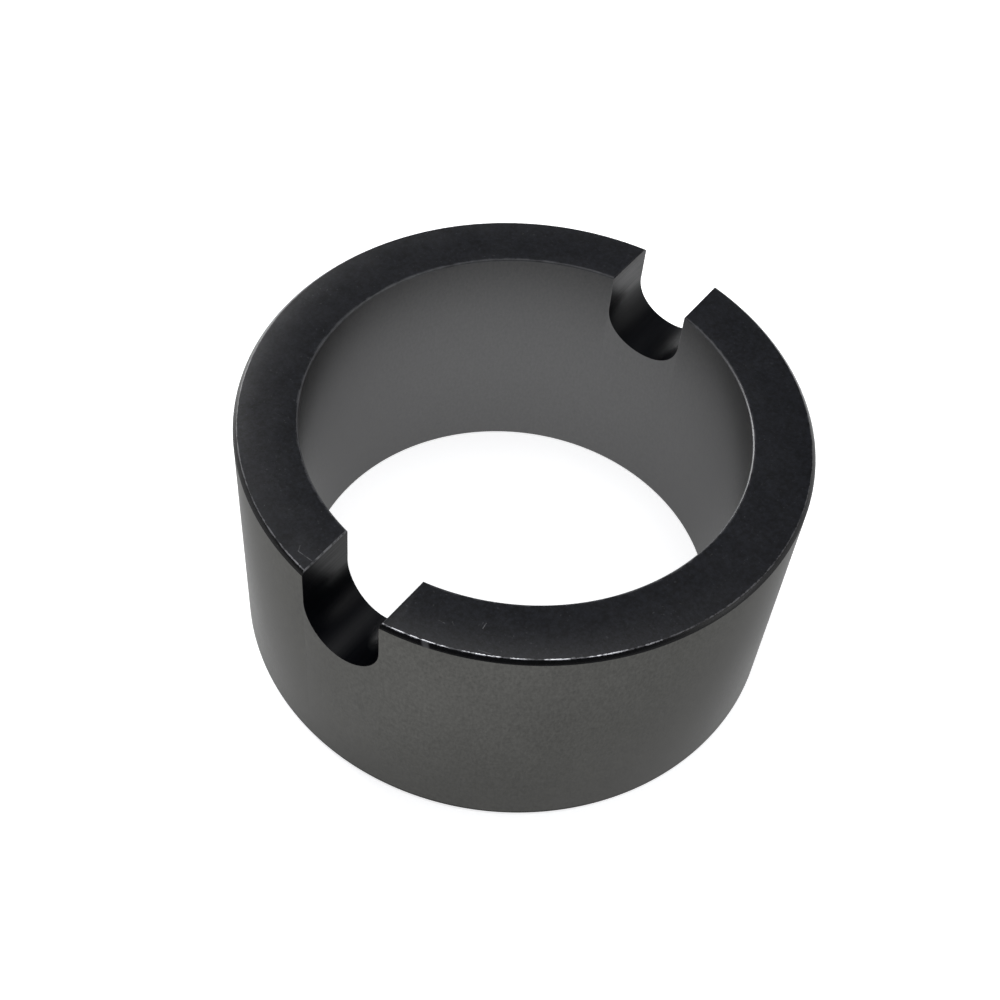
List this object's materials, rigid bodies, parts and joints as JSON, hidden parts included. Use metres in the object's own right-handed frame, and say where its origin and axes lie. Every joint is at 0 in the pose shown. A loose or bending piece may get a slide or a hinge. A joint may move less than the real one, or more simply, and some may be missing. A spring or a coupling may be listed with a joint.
{
  "type": "taper bush",
  "caption": "Hardened steel ring bush with a slowly tapered ground outside, a plain bore, and a round-bottomed slot cut across its wide end.",
  "frame": {"origin": "centre of the narrow end's face, on the bore's axis", "axes": "+Z along the bore towards the slotted wide end, Y along the slot"},
  "size_m": [0.064, 0.0638, 0.0315],
  "materials": {
    "ground_steel": "fine ground satin, with black oxide left on the slotted end and in the slot"
  },
  "bodies": {
    "root": {"bush": "ground_steel"}
  },
  "joints": []
}
